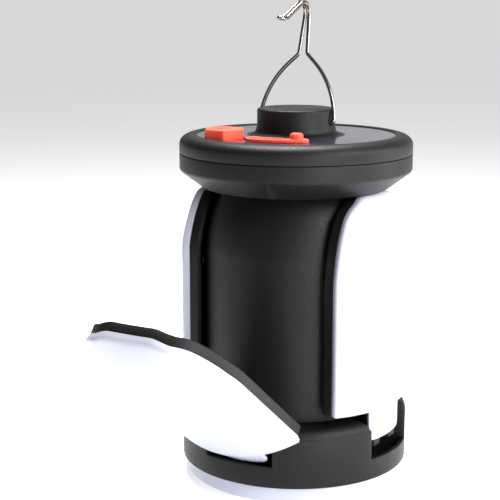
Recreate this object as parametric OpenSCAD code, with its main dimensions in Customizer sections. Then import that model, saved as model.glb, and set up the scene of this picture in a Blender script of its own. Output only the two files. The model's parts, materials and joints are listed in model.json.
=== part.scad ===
// Camping lantern with four fold-out light leaves, a solar top and a folding wire hook.
// Z is up and z = 0 is the underside of the frosted bottom lens. The front leaf faces -Y.
// All lengths are in millimetres and all angles in degrees.

/* [Leaves] */
// angle the front leaf is swung open by
open_deg = 52.3; // [0:0.1:58]
// outside radius of a closed leaf
leaf_r = 59.2; // [58:0.1:60]
// thickness of a leaf from its lens to its back
leaf_t = 10.7; // [9:0.1:11.5]
// half of the angle one leaf takes up round the column
leaf_half = 41; // [36:0.5:42]
// height of a leaf's lower edge
leaf_z0 = 44.2; // [42:0.1:50]
// radius of the circle the hinge pins sit on
hinge_r = 47; // [46.5:0.1:48]
// height of the hinge pins
hinge_z = 24.4; // [23.5:0.1:25.5]

/* [Head] */
// radius of the solar head
head_r = 60; // [60:0.1:64]
// height of the seam between the two head shells
seam_z = 170; // [168:0.5:172]
// outside radius of the solar ring
panel_r = 51; // [50:0.1:52]
// radius of the round boss that carries the hook
boss_r = 20; // [19:0.1:21]
// height of the boss above the head
boss_h = 13; // [12:0.5:16]

/* [Hook] */
// angle the hook leans back by
hook_tilt = 11.5; // [0:0.5:20]
// diameter of the hook wire
wire_d = 2.1; // [1.8:0.1:2.2]

/* [Base] */
// outside radius of the base
base_r = 59.3; // [58.5:0.1:60]
// height of the base's flat top
deck_z = 39; // [38:0.5:40]
// half of the angle of the notch each leaf hinges in
notch_half = 19; // [18.5:0.5:20]
// depth of the bottom lens below the base
lens_h = 9; // [7:0.5:9]

/* [Column] */
// radius of the battery column
column_r = 46.7; // [45:0.1:46.9]

/* [Hidden] */
$fn = 96;
eps = 0.01;
quarter = 90;
leaf_az = [0, 90, 180, 270];

// heights of the head, bottom to top
cone_z0 = seam_z - 17.6;
cone_z1 = seam_z - 8.5;
top_z = seam_z + 9.5;
recess_z = top_z - 1.9;
cover_z = top_z - 0.5;
boss_z = top_z + boss_h;
pivot_z = top_z + 5.9;
cone_r = head_r - 12;
wall = 2.2;

// the leaf's outer surface: straight, then drawn in towards the head
leaf_z1 = cone_z0 - 0.6;
draw_z0 = 121;
draw_z1 = 157;
draw_in = 12.5;
draw_pow = 1.35;
round_z0 = 104;
round_pow = 2.6;
inner_share = 0.85;
lens_depth = 3.6;
skin = 1.7;
// towards its tip the leaf also flattens across its width
flat_z0 = 125;
flat_out = 4;
flat_in = 3.5;
tip_round = 3.3;

function drop(z) = z <= draw_z0 ? 0
    : draw_in * (1 - pow(1 - pow((z - draw_z0) / (draw_z1 - draw_z0), draw_pow), 1 / draw_pow));
function half_at(z) = z <= round_z0 ? leaf_half
    : leaf_half * pow(1 - pow((z - round_z0) / (draw_z1 - round_z0), round_pow), 1 / round_pow);
function flatten(z) = z <= flat_z0 ? 0 : pow((z - flat_z0) / (leaf_z1 - flat_z0), 3);
function edge_x(z, top) = (leaf_r - drop(z)) * sin(half_at(z))
    - tip_round * (1 - sqrt(1 - pow(min(1, max(0, z - top + tip_round) / tip_round), 2)));
function polar(r, a) = [r * sin(a), -r * cos(a)];
function steps(a, b, n) = [for (i = [0 : n]) a + (b - a) * i / n];
function flip(v) = [for (i = [len(v) - 1 : -1 : 0]) v[i]];

// a pie slice about -Y, half angle a, from the axis out to beyond everything
module slice(a, z0, z1) {
    far = 90;
    translate([0, 0, z0]) linear_extrude(z1 - z0)
        polygon([[0, 0], [-far * sin(a), -far * cos(a)], [0, -far * 1.6], [far * sin(a), -far * cos(a)]]);
}

// a plain ring between two radii and two heights
module ring(r0, r1, z0, z1) {
    rotate_extrude() polygon([[r0, z0], [r1, z0], [r1, z1], [r0, z1]]);
}

// a rod of radius r along the radial direction at angle a and height z
module radial_rod(a, z, r0, r1, r) {
    rotate([0, 0, a]) translate([0, -r0, z]) rotate([quarter, 0, 0]) cylinder(r = r, h = r1 - r0, $fn = 32);
}

// the leaf's whole solid; d_out and d_in are depths in from its outer and inner
// faces, and inset shrinks its edges, or spreads them where it is below nought
module leaf_block(d_out, d_in, inset) {
    spread = max(0, -inset);
    up = concat([leaf_z0 - spread], steps(draw_z0, leaf_z1, 10), spread > 0 ? [leaf_z1 + spread] : []);
    outer = [for (z = up) [leaf_r - drop(z) - d_out, z]];
    inner = [for (z = flip(up)) [leaf_r - leaf_t - inner_share * drop(z) - flat_in * flatten(z) + d_in, z]];
    turn = inset * 180 / (PI * (leaf_r - leaf_t / 2));
    h = leaf_half - turn;
    top = leaf_z1 - inset;
    zs = concat(steps(round_z0, top - tip_round, 9), [for (t = [35, 60, quarter]) top - tip_round * (1 - sin(t))]);
    side = concat([[leaf_r * sin(leaf_half), leaf_z0 + inset]], [for (z = zs) [edge_x(z, top) - inset, z]]);
    far = 70;
    flat_zs = steps(flat_z0 + 8, leaf_z1 + 0.1, 6);
    front = [for (z = flat_zs) [drop(z) + flat_out * flatten(z) + d_out - leaf_r, z]];
    intersection() {
        rotate_extrude() polygon(concat(outer, inner));
        translate([0, 0, leaf_z0 - 2]) linear_extrude(leaf_z1 - leaf_z0 + 4) polygon([
            polar(leaf_r - leaf_t - 1, -h + 5), polar(leaf_r - leaf_t + 4, -h), polar(leaf_r - 1.8, -h),
            polar(leaf_r, -h + 2), polar(far + 10, -h / 2), polar(far + 10, h / 2), polar(leaf_r, h - 2),
            polar(leaf_r - 1.8, h), polar(leaf_r - leaf_t + 4, h), polar(leaf_r - leaf_t - 1, h - 5),
            [0, -20]]);
        translate([0, -15, 0]) rotate([quarter, 0, 0]) linear_extrude(far)
            polygon(concat([for (p = flip(side)) [-p[0], p[1]]], side));
        rotate([quarter, 0, quarter]) translate([0, 0, -far / 2]) linear_extrude(far)
            polygon(concat([[0, leaf_z0 - 2], [-far - 5, leaf_z0 - 2], [-far - 5, draw_z0]], front,
                [[front[6][0], leaf_z1 + 3], [0, leaf_z1 + 3]]));
    }
}

// places a leaf's pieces: turned to its side of the lantern and swung open about its pin
module at_leaf(i) {
    swing = i == 0 ? open_deg : 0;
    rotate([0, 0, leaf_az[i]]) translate([0, -hinge_r, hinge_z]) rotate([swing, 0, 0])
        translate([0, hinge_r, -hinge_z]) children();
}

tab_half = 17.2;
tab_r1 = leaf_r - 3.6;
tab_split = tab_r1 - 1.7;
tab_r0 = tab_split - 2.6;
tab_z0 = hinge_z + 3.2;
tab_gap = 0.05;
knuckle_r = 3.1;
knuckle_w = 7;
knuckle_x = 8.5;
pin_r = 1.25;
pin_run = 0.07;
screw_spots = [[-27, leaf_z0 + 9], [27, leaf_z0 + 9], [-27, leaf_z0 + 68], [27, leaf_z0 + 68]];
post_r = 2.7;
shank_r = 1;
head_screw_r = 2.1;
board_d = 1.9;
board_t = 1.2;

module leaf_lens(i) {
    color([0.93, 0.93, 0.96]) at_leaf(i) {
        difference() {
            leaf_block(0, 2, 0);
            leaf_block(lens_depth, 1, -0.6);
            leaf_block(skin, 0, skin);
        }
        difference() {
            for (s = screw_spots)
                radial_rod(s[0], s[1], leaf_r - leaf_t + board_d + 0.1, leaf_r - skin + 0.3, post_r);
            for (s = screw_spots)
                radial_rod(s[0], s[1], leaf_r - leaf_t, leaf_r - 3.2, shank_r);
        }
        intersection() {
            union() {
                ring(tab_split + tab_gap, tab_r1, tab_z0, leaf_z0 + skin);
                ring(tab_split + tab_gap, leaf_r - skin, leaf_z0, leaf_z0 + skin);
            }
            slice(tab_half, tab_z0 - 1, leaf_z0 + 3);
        }
    }
}

module leaf_back(i) {
    color([0.12, 0.12, 0.12]) at_leaf(i) difference() {
        union() {
            difference() {
                leaf_block(lens_depth, 0, 0);
                leaf_block(0, skin, skin);
            }
            intersection() {
                ring(tab_r0, tab_split, tab_z0, leaf_z0 + skin);
                slice(tab_half, tab_z0 - 1, leaf_z0 + 3);
            }
            for (x = [-knuckle_x, knuckle_x]) intersection() {
                union() {
                    translate([x - knuckle_w / 2, -hinge_r, hinge_z]) rotate([0, quarter, 0])
                        cylinder(r = knuckle_r, h = knuckle_w, $fn = 48);
                    translate([x - knuckle_w / 2, -tab_split, hinge_z - 1]) cube([knuckle_w, tab_split - hinge_r, 8]);
                }
                ring(1, tab_split, hinge_z - 5, hinge_z + 8);
            }
        }
        intersection() {
            ring(tab_split, leaf_r, leaf_z0 - 1, leaf_z0 + skin + tab_gap);
            slice(tab_half + 0.2, leaf_z0 - 2, leaf_z0 + 3);
        }
        translate([-20, -hinge_r, hinge_z]) rotate([0, quarter, 0])
            cylinder(r = pin_r + pin_run, h = 40, $fn = 48);
        for (s = screw_spots) {
            radial_rod(s[0], s[1], leaf_r - leaf_t - 1, leaf_r - leaf_t + 3, shank_r + 0.1);
            radial_rod(s[0], s[1], leaf_r - leaf_t - 1, leaf_r - leaf_t + 0.8, head_screw_r + 0.2);
        }
    }
}

module leaf_board(i) {
    r0 = leaf_r - leaf_t + board_d;
    color([0.95, 0.95, 0.93]) at_leaf(i) difference() {
        intersection() {
            ring(r0, r0 + board_t, leaf_z0 + 5, draw_z0 - 2);
            slice(leaf_half - 6, leaf_z0, draw_z1);
        }
        for (s = screw_spots) radial_rod(s[0], s[1], r0 - 2, r0 + 3, post_r + 0.15);
    }
}

module leaf_leds(i) {
    r0 = leaf_r - leaf_t + board_d + board_t;
    rows = 6;
    color([0.98, 0.90, 0.45]) at_leaf(i)
        for (a = [-18, -6, 6, 18], k = [0 : rows - 1])
            rotate([0, 0, a]) translate([-1.75, -r0 - 0.85, leaf_z0 + 12 + k * 9]) cube([3.5, 0.8, 2.8]);
}

module leaf_screws(i) {
    r0 = leaf_r - leaf_t;
    color([0.55, 0.56, 0.58]) at_leaf(i) for (s = screw_spots) difference() {
        union() {
            radial_rod(s[0], s[1], r0 - 0.4, r0 + 0.8, head_screw_r);
            radial_rod(s[0], s[1], r0 + 0.5, r0 + 6, shank_r - 0.02);
        }
        rotate([0, 0, s[0]]) translate([-1.3, -r0 - 0.1, s[1] - 0.3]) cube([2.6, 2, 0.6]);
        rotate([0, 0, s[0]]) translate([-0.3, -r0 - 0.1, s[1] - 1.3]) cube([0.6, 2, 2.6]);
    }
}

// ---- base ----
floor_z = lens_h + 2.2;
floor_t = 2.5;
band_z = deck_z - 5;
low_wall_z = lens_h + 10.6;
wall_b = 2.5;
hub_r = hinge_r - 5.2;
mount_r = 30;
post_ring = 50;

module notches(z0, z1, r0, r1) {
    for (a = leaf_az) rotate([0, 0, a]) intersection() {
        ring(r0, r1, z0, z1);
        slice(notch_half, z0 - 1, z1 + 1);
    }
}

module pin_rods(r, half) {
    for (a = leaf_az) rotate([0, 0, a]) translate([-half, -hinge_r, hinge_z]) rotate([0, quarter, 0])
        cylinder(r = r, h = half * 2, $fn = 48);
}

module base_housing() {
    color([0.12, 0.12, 0.12]) difference() {
        union() {
            rotate_extrude() polygon([[base_r - wall_b, lens_h], [base_r - 0.8, lens_h], [base_r, lens_h + 0.8],
                [base_r, low_wall_z], [base_r - wall_b, low_wall_z]]);
            ring(4, base_r - wall_b + eps, floor_z, floor_z + floor_t);
            difference() {
                ring(hub_r - wall, base_r, floor_z, band_z);
                notches(floor_z + floor_t, band_z + 1, hub_r, base_r + 2);
                for (a = leaf_az) rotate([0, 0, a + 45]) difference() {
                    intersection() {
                        ring(hub_r, base_r - wall_b, floor_z + floor_t, band_z + 1);
                        slice(45 - notch_half - 3.5, floor_z, band_z + 2);
                    }
                    translate([0, -post_ring, floor_z]) cylinder(r = 3.4, h = band_z - floor_z);
                }
            }
            for (a = leaf_az) rotate([0, 0, a + 45]) translate([0, -mount_r, floor_z + floor_t - eps])
                cylinder(r = 4, h = 4);
        }
        for (a = leaf_az) rotate([0, 0, a + 45]) {
            translate([0, -mount_r, floor_z - 1]) cylinder(r = 1.7, h = 12);
            translate([0, -mount_r, floor_z - 1]) cylinder(r = 3.3, h = 3);
            translate([0, -post_ring, floor_z - 1]) cylinder(r = 1.2, h = band_z);
            translate([0, -post_ring, floor_z - 1]) cylinder(r = 2.5, h = 2.7);
        }
        pin_rods(pin_r, 19.5);
    }
}

module base_deck() {
    corner = 5;
    edge_gap = 0.1;
    color([0.12, 0.12, 0.12]) difference() {
        rotate_extrude() polygon(concat([[hub_r - wall, band_z]], [[base_r, band_z]],
            [for (t = steps(0, quarter, 10)) [base_r - corner + corner * cos(t), band_z + corner * sin(t)]],
            [[mount_r - 8, deck_z], [mount_r - 8, deck_z - 2.4], [hub_r - wall, deck_z - 2.4]]));
        notches(band_z - 1, deck_z + 1, hub_r, base_r + 2);
        for (a = leaf_az, s = [-1, 1]) rotate([0, 0, a + s * notch_half]) translate([0, -hub_r - 0.6, 0])
            rotate([quarter, 0, 0]) linear_extrude(base_r) polygon(concat([[-s * edge_gap, deck_z - corner + 0.4]],
                [for (t = steps(20, 75, 4)) [s * corner * (1 - cos(t)), deck_z - corner + corner * sin(t)]],
                [[s * corner, deck_z + edge_gap], [s * corner, deck_z + 1], [-s, deck_z + 1],
                 [-s, deck_z - corner + 0.4]]));
        for (a = leaf_az) rotate([0, 0, a + 45]) {
            difference() {
                intersection() {
                    ring(hub_r + 1, base_r - wall_b - 2.5, band_z - 1, deck_z - 2.4);
                    slice(45 - notch_half - 4, band_z - 2, deck_z);
                }
                translate([0, -post_ring, band_z]) cylinder(r = 3.2, h = 5);
            }
            translate([0, -post_ring, band_z - 1]) cylinder(r = 1.2, h = 4);
            translate([0, -mount_r, band_z - 1]) cylinder(r = 1.7, h = 12);
        }
    }
}

module hinge_pins() {
    color([0.7, 0.7, 0.72]) pin_rods(pin_r, 19.2);
}

module bottom_lens() {
    r = base_r - 1.8;
    edge = 4;
    color([0.93, 0.93, 0.96]) rotate_extrude() polygon(concat([[0, 0], [r - edge, 0]],
        [for (t = steps(-quarter, 0, 8)) [r - edge + edge * cos(t), edge + edge * sin(t)]],
        [[r, lens_h - 0.05], [base_r - wall_b - 0.2, lens_h - 0.05], [base_r - wall_b - 0.2, floor_z - 0.1],
         [base_r - wall_b - 1.8, floor_z - 0.1], [base_r - wall_b - 1.8, 4.5], [r - 5, 2], [0, 2]]));
}

module bottom_led_board() {
    color([0.95, 0.95, 0.93]) difference() {
        translate([0, 0, floor_z - 1.8]) cylinder(r = 50, h = 1.6);
        for (a = leaf_az) rotate([0, 0, a + 45]) translate([0, -mount_r, floor_z - 3]) cylinder(r = 3.6, h = 4);
    }
}

module bottom_leds() {
    color([0.98, 0.90, 0.45]) for (r = [16, 42], k = [0 : 11])
        rotate([0, 0, k * 30 + 15]) translate([-1.75, -r - 1.4, floor_z - 2.6]) cube([3.5, 2.8, 0.8]);
}

module base_screws() {
    color([0.55, 0.56, 0.58]) for (a = leaf_az) rotate([0, 0, a + 45]) translate([0, -mount_r, 0]) {
        translate([0, 0, floor_z]) cylinder(r = 3, h = 1.9);
        translate([0, 0, floor_z + 1.5]) cylinder(r = 1.48, h = deck_z + 6 - floor_z);
    }
}

module deck_screws() {
    color([0.55, 0.56, 0.58]) for (a = leaf_az) rotate([0, 0, a + 45]) translate([0, -post_ring, 0]) {
        translate([0, 0, floor_z]) cylinder(r = 2.3, h = 1.6);
        translate([0, 0, floor_z + 1]) cylinder(r = 1.18, h = band_z + 1.5 - floor_z);
    }
}

// ---- column ----
column_z1 = cone_z0;
core_z0 = 60;
cell_r = 9.1;
cell_h = 65;
cell_ring = 14;

function column_at(z) = column_r - inner_share * drop(z) - flat_in * flatten(z);

module column_tube() {
    zs = concat([deck_z], steps(draw_z0, column_z1 - 0.1, 10));
    t = 2;
    color([0.12, 0.12, 0.12]) difference() {
        union() {
            rotate_extrude() polygon(concat([for (z = zs) [column_at(z), z]],
                [[mount_r - 8, column_z1 - 0.1], [mount_r - 8, column_z1 - 2.6]],
                [for (z = flip(zs)) if (z < column_z1 - 2) [column_at(z) - t, z]]));
            for (a = leaf_az) rotate([0, 0, a + 45]) translate([0, -mount_r, 0]) {
                translate([0, 0, deck_z]) cylinder(r = 4, h = 10.5);
                translate([0, 0, column_z1 - 14]) cylinder(r = 3.6, h = 12);
            }
            ring(mount_r - 4, column_r - 1, deck_z + 9, deck_z + 11);
        }
        for (a = leaf_az) rotate([0, 0, a + 45]) translate([0, -mount_r, 0]) {
            translate([0, 0, deck_z - 1]) cylinder(r = 1.5, h = 10);
            translate([0, 0, column_z1 - 13]) cylinder(r = 1.5, h = 14);
        }
    }
}

module battery_cells() {
    color([0.20, 0.45, 0.70]) for (k = [0 : 2]) rotate([0, 0, k * 120]) translate([0, -cell_ring, core_z0]) {
        cylinder(r = cell_r, h = cell_h);
        translate([0, 0, cell_h - eps]) cylinder(r = 3.2, h = 1.2);
    }
}

module battery_tray() {
    color([0.85, 0.85, 0.82]) difference() {
        union() {
            translate([0, 0, deck_z + 11.1]) cylinder(r = mount_r - 2, h = core_z0 - deck_z - 11.2);
            translate([0, 0, core_z0 + cell_h + 1.3]) cylinder(r = 25.5, h = 2);
            for (k = [0 : 2]) rotate([0, 0, k * 120 + 60]) translate([0, -22, core_z0 - 1])
                cylinder(r = 2.2, h = cell_h + 3);
        }
        translate([0, 0, deck_z + 10]) cylinder(r = mount_r - 5, h = core_z0 - deck_z - 12);
        cylinder(r = 3, h = 200);
    }
}

module column_leads() {
    color([0.75, 0.10, 0.10]) {
        for (x = [-1.2, 1.2]) translate([x, 0, floor_z + floor_t + 1]) cylinder(r = 0.8, h = cone_z0 - 8, $fn = 24);
    }
}

// ---- head ----
board_z = cone_z0 + 10;
stub_r = wire_d / 2 + 0.06;
button_x = -21.7;
button_y = -34.5;
button_r = 11;
cover_r0 = 34;
cover_r1 = 42;
cover_a0 = -8;
cover_a1 = 39;
usb_r = 38;
usb_a_deg = 6.5;
usb_c_deg = 26;

module head_bottom_shell() {
    color([0.12, 0.12, 0.12]) difference() {
        union() {
            rotate_extrude() polygon([[12, cone_z0], [cone_r, cone_z0], [head_r - 0.4, cone_z1 - 0.6],
                [head_r, cone_z1 + 0.6], [head_r, seam_z - 0.1], [head_r - wall, seam_z - 0.1],
                [head_r - wall, cone_z1 + 0.5], [cone_r - 1, cone_z0 + wall], [12, cone_z0 + wall]]);
            for (a = leaf_az) rotate([0, 0, a + 45]) translate([0, -38, cone_z0 + 1])
                cylinder(r = 3, h = board_z - cone_z0 - 1);
        }
        for (a = leaf_az) rotate([0, 0, a + 45]) translate([0, -mount_r, cone_z0 - 1]) cylinder(r = 1.7, h = 5);
    }
}

module head_screws() {
    color([0.55, 0.56, 0.58]) for (a = leaf_az) rotate([0, 0, a + 45]) translate([0, -mount_r, 0]) {
        translate([0, 0, cone_z0 + wall]) cylinder(r = 3, h = 1.8);
        translate([0, 0, cone_z0 - 10]) cylinder(r = 1.48, h = 10 + wall + 0.5);
    }
}

module head_seal() {
    color([0.06, 0.06, 0.06]) ring(head_r - wall - 1.6, head_r - wall - 0.05, seam_z - 1.2, seam_z + 1.2);
}

module usb_slots(grow, z0, z1) {
    rotate([0, 0, usb_a_deg]) translate([-6.6 - grow, -usb_r - 2.9 - grow, z0])
        cube([13.2 + 2 * grow, 5.8 + 2 * grow, z1 - z0]);
    rotate([0, 0, usb_c_deg]) translate([-4.5 - grow, -usb_r - 1.65 - grow, z0])
        cube([9 + 2 * grow, 3.3 + 2 * grow, z1 - z0]);
}

module hexagon(r, z0, z1) {
    translate([button_x, button_y, z0]) cylinder(r = r, h = z1 - z0, $fn = 6);
}

module head_top_shell() {
    rim_in = 6.5;
    rim_h = 5;
    flare = 3.4;
    boss_edge = 1.2;
    color([0.12, 0.12, 0.12]) difference() {
        union() {
            rotate_extrude() polygon(concat(
                [[head_r - wall, seam_z + 0.1], [head_r, seam_z + 0.1]],
                [for (t = steps(0, quarter, 12)) [head_r - rim_in + rim_in * cos(t), top_z - rim_h + rim_h * sin(t)]],
                [[panel_r + 0.6, top_z], [panel_r + 0.1, top_z - 0.5], [panel_r + 0.1, recess_z],
                 [boss_r + 5, recess_z], [boss_r + 5, cover_z]],
                [for (t = steps(0, quarter, 8))
                    [boss_r + 5 - 4.4 * sin(t), cover_z + flare - flare * cos(t)]],
                [[boss_r, top_z + 4.5], [boss_r, boss_z - boss_edge], [boss_r - boss_edge, boss_z],
                 [0, boss_z], [0, boss_z - wall], [boss_r - wall, boss_z - wall - 0.5],
                 [boss_r - wall, recess_z], [boss_r - wall, recess_z - 2], [panel_r + 1.5, recess_z - 2],
                 [head_r - wall, top_z - rim_h - 0.4]]));
            for (a = leaf_az) rotate([0, 0, a + 45]) translate([0, -54, seam_z - 3.5])
                intersection() {
                    translate([-4, -1.2, 0]) cube([8, 2, recess_z - seam_z + 2]);
                    translate([0, 54, -seam_z + 3.5]) ring(50, head_r - wall - 1.7, seam_z - 4, recess_z - 1);
                }
        }
        for (s = [-1, 1]) translate([s * (boss_r - 1.1), 0, pivot_z]) rotate([0, quarter, 0])
            translate([0, 0, -2.5]) cylinder(r = stub_r + 0.1, h = 5, $fn = 32);
        hexagon(button_r + 0.5, recess_z - 4, top_z + 5);
        usb_slots(0.2, recess_z - 4, top_z + 1);
    }
}

module solar_panel() {
    color([0.05, 0.06, 0.16]) difference() {
        for (a = leaf_az) rotate([0, 0, a]) intersection() {
            ring(boss_r + 5.2, panel_r - 0.1, recess_z + 0.05, cover_z - 0.6);
            rotate([0, 0, 45]) slice(44.2, recess_z - 1, cover_z);
        }
        hexagon(button_r + 0.6, recess_z - 1, top_z + 5);
        usb_slots(0.3, recess_z - 4, top_z + 1);
    }
}

module solar_cover() {
    color([0.55, 0.60, 0.68]) difference() {
        ring(boss_r + 5.15, panel_r, cover_z - 0.6, cover_z);
        hexagon(button_r + 0.5, recess_z - 1, top_z + 5);
        usb_slots(0.2, recess_z - 4, top_z + 1);
    }
}

module power_button() {
    face = top_z + 4.4;
    bevel = 0.6;
    color([0.95, 0.30, 0.18]) difference() {
        union() {
            hexagon(button_r, recess_z - 2, face - bevel);
            hexagon(button_r - bevel, recess_z - 2, face);
            hexagon(button_r + 1.4, recess_z - 3.4, recess_z - 2.15);
            translate([button_x, button_y, board_z + 7]) cylinder(r = 2.5, h = recess_z - board_z - 9);
        }
        hexagon(button_r - 2, recess_z - 1, face - 2);
        translate([button_x, button_y, face - 0.4]) difference() {
            cylinder(r = 3.8, h = 1);
            cylinder(r = 3, h = 1);
            translate([-1.1, 0, 0]) cube([2.2, 5, 1]);
        }
        translate([button_x - 0.4, button_y + 1.6, face - 0.4]) cube([0.8, 3.4, 1]);
    }
}

module port_cover() {
    z0 = cover_z + 0.15;
    mid = (cover_a0 + cover_a1) / 2;
    half = (cover_a1 - cover_a0) / 2;
    ribs = 12;
    color([0.95, 0.30, 0.18]) {
        rotate([0, 0, mid]) intersection() {
            union() {
                ring(cover_r0, cover_r1, z0, z0 + 1.3);
                ring(cover_r0 + 1.4, cover_r1 - 1.4, z0 + 1.3 - eps, z0 + 1.9);
            }
            slice(half, z0 - 1, z0 + 4);
            rotate([0, 0, 1.6]) slice(half, z0 - 1, z0 + 4);
        }
        for (k = [0 : ribs - 1]) rotate([0, 0, cover_a0 + 4 + k * 2.1])
            translate([-0.35, -cover_r1 + 1.8, z0 + 1.5]) cube([0.7, cover_r1 - cover_r0 - 3.6, 0.75]);
        rotate([0, 0, 30]) translate([0, -usb_r, z0 + 1.2]) {
            cylinder(r = 3.3, h = 3.3);
            cylinder(r = 2.5, h = 4);
        }
        rotate([0, 0, cover_a0]) translate([0.9, -cover_r1, z0 + 0.9]) rotate([-quarter, 0, 0])
            cylinder(r = 0.9, h = cover_r1 - cover_r0, $fn = 32);
    }
}

module usb_a_socket() {
    rot = usb_a_deg;
    z1 = cover_z - 0.3;
    color([0.75, 0.76, 0.78]) rotate([0, 0, rot]) difference() {
        translate([-6.55, -usb_r - 2.85, board_z + 1.6]) cube([13.1, 5.7, z1 - board_z - 1.6]);
        difference() {
            translate([-6.15, -usb_r - 2.45, board_z + 5]) cube([12.3, 4.9, z1]);
            translate([-5.3, -usb_r - 0.4, board_z + 3]) cube([10.6, 1.8, z1 - board_z - 4]);
        }
    }
}

module usb_c_socket() {
    z1 = cover_z - 0.3;
    color([0.75, 0.76, 0.78]) rotate([0, 0, usb_c_deg]) difference() {
        translate([-4.45, -usb_r - 1.6, board_z + 1.6]) cube([8.9, 3.2, z1 - board_z - 1.6]);
        difference() {
            translate([-4.1, -usb_r - 1.25, board_z + 9]) cube([8.2, 2.5, z1]);
            translate([-3.3, -usb_r - 0.35, board_z + 8]) cube([6.6, 0.7, z1 - board_z - 9]);
        }
    }
}

module control_board() {
    color([0.10, 0.35, 0.20]) difference() {
        translate([0, 0, board_z]) cylinder(r = 46, h = 1.6);
        translate([0, 0, board_z - 1]) cylinder(r = 5, h = 4);
    }
}

module power_switch() {
    color([0.25, 0.25, 0.27]) translate([button_x, button_y, board_z + 1.6]) {
        translate([-3, -3, 0]) cube([6, 6, 3.4]);
        cylinder(r = 1.7, h = 4.2);
    }
}

// ---- hook: one wire, swept from the right pin over the crook and back to the left pin ----
wire_r = wire_d / 2;
wire_sides = 16;
leg_x = boss_r + 1.65;
elbow_r = 1.8;
lean0 = 5;
lean1 = 48;
bow_r = 43;
neck_run = 5.6;
neck_r = 3.5;
lean2 = 3.4;
ease_r = 15;
twin = 1.25;
crook_r = 5.6;
crook_run = 0.7;
crook_deg = 127;
tip_run = 15.9;
curl_r = 6;
curl_deg = 42;

// directions in the plane of the legs: along a wire leaning in by a, and square to it
function along(a) = [-sin(a), 0, cos(a)];
function out(a) = [cos(a), 0, sin(a)];
// the same in the plane of the crook, where b is how far the wire has turned over
function over(b) = [0, -sin(b), cos(b)];
function rise(b) = [0, cos(b), sin(b)];
function mirrored(p) = [-p[0], p[1], p[2]];

elbow_c = [leg_x - elbow_r, 0, elbow_r];
bow_c = elbow_c + (elbow_r - bow_r) * out(lean0);
neck_c = bow_c + (bow_r + neck_r) * out(lean1) + neck_run * along(lean1);
p_neck = neck_c - neck_r * out(lean2);
ease_x = twin + ease_r * (1 - cos(lean2));
ease_c = p_neck + (p_neck[0] - ease_x) / sin(lean2) * along(lean2) + ease_r * out(lean2);
crook_c = [twin, -crook_r, ease_c[2] + crook_run];
curl_c = crook_c + (crook_r + curl_r) * rise(crook_deg) + tip_run * over(crook_deg);
curl_end = crook_deg - curl_deg;
tip_c = curl_c - curl_r * rise(curl_end) - [twin, 0, 0];

// each station is [point, direction along the wire, one direction across it]
side_y = [0, 1, 0];
right_side = concat(
    [[elbow_c - [0.8, 0, elbow_r], along(-quarter), side_y]],
    [for (a = steps(-quarter, lean0, 10)) [elbow_c + elbow_r * out(a), along(a), side_y]],
    [for (a = steps(lean0 + 3, lean1, 12)) [bow_c + bow_r * out(a), along(a), side_y]],
    [for (a = steps(lean1, lean2, 7)) [neck_c - neck_r * out(a), along(a), side_y]],
    [for (a = [lean2, lean2 / 2, 0]) [ease_c - ease_r * out(a), along(a), side_y]],
    [for (b = steps(0, crook_deg, 16)) [crook_c + crook_r * rise(b), over(b), rise(b)]],
    [for (b = steps(crook_deg, curl_end, 6)) [curl_c - curl_r * rise(b), over(b), rise(b)]]);
tip_bend = [for (c = steps(quarter / 5, 180 - quarter / 5, 8))
    [tip_c + twin * ([cos(c), 0, 0] + sin(c) * over(curl_end)), cos(c) * over(curl_end) - [sin(c), 0, 0],
        rise(curl_end)]];
left_side = [for (s = flip(right_side)) [mirrored(s[0]), -mirrored(s[1]), s[2]]];
stations = concat(right_side, tip_bend, left_side);

module hook_wire() {
    n = len(stations);
    m = wire_sides;
    points = [for (s = stations, j = [0 : m - 1])
        s[0] + wire_r * (cos(j * 360 / m) * s[2] + sin(j * 360 / m) * cross(s[1], s[2]))];
    walls = [for (k = [0 : n - 2], j = [0 : m - 1], half = [0, 1])
        let (a = k * m + j, b = k * m + (j + 1) % m) half == 0 ? [a, a + m, b + m] : [a, b + m, b]];
    polyhedron(points, concat(walls, [[for (j = [0 : m - 1]) j]],
        [[for (j = [m - 1 : -1 : 0]) (n - 1) * m + j]]));
}

module hanging_hook() {
    stub_x = boss_r - 2.6;
    color([0.78, 0.78, 0.80]) translate([0, 0, pivot_z]) rotate([-hook_tilt, 0, 0]) {
        hook_wire();
        for (s = [0, 1]) mirror([s, 0, 0]) translate([stub_x, 0, 0]) rotate([0, quarter, 0])
            cylinder(r = stub_r, h = elbow_c[0] - stub_x - 0.2, $fn = 32);
    }
}

module front_leaf_lens() { leaf_lens(0); }
module front_leaf_back() { leaf_back(0); }
module front_leaf_board() { leaf_board(0); }
module front_leaf_leds() { leaf_leds(0); }
module front_leaf_screws() { leaf_screws(0); }
module right_leaf_lens() { leaf_lens(1); }
module right_leaf_back() { leaf_back(1); }
module right_leaf_board() { leaf_board(1); }
module right_leaf_leds() { leaf_leds(1); }
module right_leaf_screws() { leaf_screws(1); }
module rear_leaf_lens() { leaf_lens(2); }
module rear_leaf_back() { leaf_back(2); }
module rear_leaf_board() { leaf_board(2); }
module rear_leaf_leds() { leaf_leds(2); }
module rear_leaf_screws() { leaf_screws(2); }
module left_leaf_lens() { leaf_lens(3); }
module left_leaf_back() { leaf_back(3); }
module left_leaf_board() { leaf_board(3); }
module left_leaf_leds() { leaf_leds(3); }
module left_leaf_screws() { leaf_screws(3); }

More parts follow.
